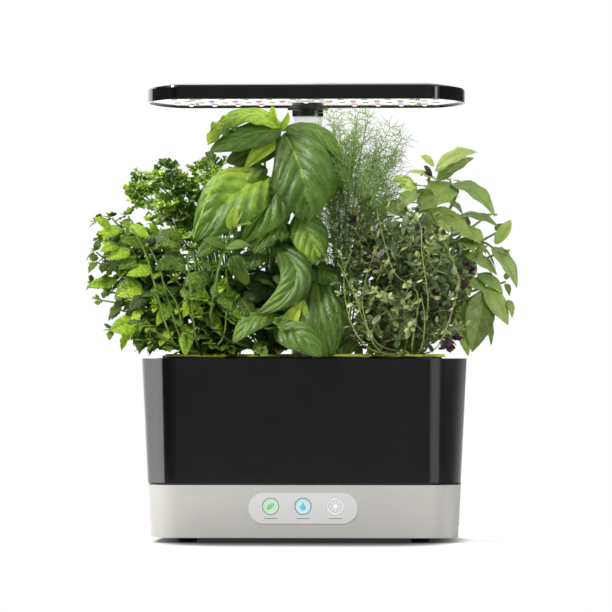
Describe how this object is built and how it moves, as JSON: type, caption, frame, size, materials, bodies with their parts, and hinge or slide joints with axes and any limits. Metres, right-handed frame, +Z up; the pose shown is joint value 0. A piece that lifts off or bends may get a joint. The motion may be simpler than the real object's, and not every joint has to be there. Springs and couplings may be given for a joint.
{
  "type": "countertop hydroponic garden",
  "caption": "Countertop hydroponic herb garden: lidded water bowl on a button base, herb pods in a deck, and an LED grow lamp on a telescoping mast.",
  "frame": {"origin": "centre of the footprint, on the worktop under the feet", "axes": "+Z up along the mast; +Y from the button panel to the mast at the back; +X to the right of a person who faces the buttons"},
  "size_m": [0.356, 0.176, 0.3756],
  "materials": {
    "silver_shell": "satin moulded, warm silver grey",
    "black_shell": "smooth satin black moulding",
    "panel": "pale grey overlay",
    "dark_plastic": "fine-grained black moulding",
    "foot_rubber": "matt black rubber",
    "steel": "bright zinc-plated steel",
    "circuit_board": "green solder mask",
    "switch_body": "small black switches",
    "pump_plastic": "dark moulded plastic",
    "impeller_plastic": "natural nylon",
    "filter_foam": "open-cell foam",
    "clear_hose": "milky hose",
    "mast_metal": "pale anodised tube",
    "lead_sheath": "smooth pale sheath",
    "heat_metal": "mill finish sheet",
    "reflector": "white solder mask that reflects",
    "led_white": "lit warm white lens, emissive",
    "led_red": "lit red lens, emissive",
    "led_blue": "lit blue lens, emissive",
    "basket_plastic": "white moulded basket",
    "sponge_peat": "damp brown peat sponge",
    "label_card": "yellow-green coated card",
    "leaf_mint": "crinkled mid-green leaf",
    "leaf_basil": "glossy blistered green leaf",
    "leaf_dill": "feathery pale green frond",
    "leaf_thyme": "small grey-green leaf on wiry stems",
    "leaf_parsley": "curled deep green leaf",
    "leaf_thai_basil": "pointed bright green leaf"
  },
  "bodies": {
    "stand": {"base_shell": "silver_shell", "base_plate": "dark_plastic", "foot_front_left": "foot_rubber", "foot_front_right": "foot_rubber", "foot_rear_left": "foot_rubber", "foot_rear_right": "foot_rubber", "base_screws": "steel", "control_panel": "panel", "control_board": "circuit_board", "button_switches": "switch_body", "dc_jack": "dark_plastic", "contact_plug": "dark_plastic", "bowl": "black_shell", "pump_body": "pump_plastic", "pump_cover": "pump_plastic", "pump_filter": "filter_foam", "riser_tube": "clear_hose", "mast_column": "black_shell", "grow_deck": "dark_plastic", "flap_pin": "steel", "basket_mint": "basket_plastic", "basket_basil": "basket_plastic", "basket_dill": "basket_plastic", "basket_thyme": "basket_plastic", "basket_parsley": "basket_plastic", "basket_thai_basil": "basket_plastic", "sponge_mint": "sponge_peat", "sponge_basil": "sponge_peat", "sponge_dill": "sponge_peat", "sponge_thyme": "sponge_peat", "sponge_parsley": "sponge_peat", "sponge_thai_basil": "sponge_peat", "label_mint": "label_card", "label_basil": "label_card", "label_dill": "label_card", "label_thyme": "label_card", "label_parsley": "label_card", "label_thai_basil": "label_card", "herb_mint": "leaf_mint", "herb_basil": "leaf_basil", "herb_dill": "leaf_dill", "herb_thyme": "leaf_thyme", "herb_parsley": "leaf_parsley", "herb_thai_basil": "leaf_thai_basil"},
    "mast_middle": {"mast_middle_tube": "mast_metal"},
    "lamp": {"mast_upper_tube": "mast_metal", "lamp_lead": "lead_sheath", "lamp_housing": "black_shell", "heat_plate": "heat_metal", "led_board": "reflector", "white_leds": "led_white", "red_leds": "led_red", "blue_leds": "led_blue", "lamp_hub": "black_shell", "lamp_screws": "steel"},
    "food_button": {"food_button": "panel"},
    "water_button": {"water_button": "panel"},
    "light_button": {"light_button": "panel"},
    "port_flap": {"port_flap": "dark_plastic"},
    "pump_impeller": {"pump_impeller": "impeller_plastic"}
  },
  "joints": [
    {"name": "mast_slide", "type": "slide", "parent": "stand", "child": "mast_middle", "axis": [0, 0, 1], "range_m": [0, 0.036]},
    {"name": "lamp_slide", "type": "slide", "parent": "mast_middle", "child": "lamp", "axis": [0, 0, 1], "range_m": [0, 0.032], "deforming": ["lamp_lead"]},
    {"name": "food_button_press", "type": "slide", "parent": "stand", "child": "food_button", "axis": [0, 0.9988, 0.0479], "range_m": [0, 0.0006], "stiffness_N_per_m": 800, "springref_m": -0.0005},
    {"name": "water_button_press", "type": "slide", "parent": "stand", "child": "water_button", "axis": [0, 0.9988, 0.0479], "range_m": [0, 0.0006], "stiffness_N_per_m": 800, "springref_m": -0.0005},
    {"name": "light_button_press", "type": "slide", "parent": "stand", "child": "light_button", "axis": [0, 0.9988, 0.0479], "range_m": [0, 0.0006], "stiffness_N_per_m": 800, "springref_m": -0.0005},
    {"name": "port_hinge", "type": "hinge", "parent": "stand", "child": "port_flap", "pos_m": [-0.10864, 0.0545, 0.1512], "axis": [-1, 0, 0], "range_deg": [0, 85]},
    {"name": "impeller_spin", "type": "hinge", "parent": "stand", "child": "pump_impeller", "pos_m": [0, -0.02, 0.0642], "axis": [0, 0, 1], "continuous": true}
  ]
}
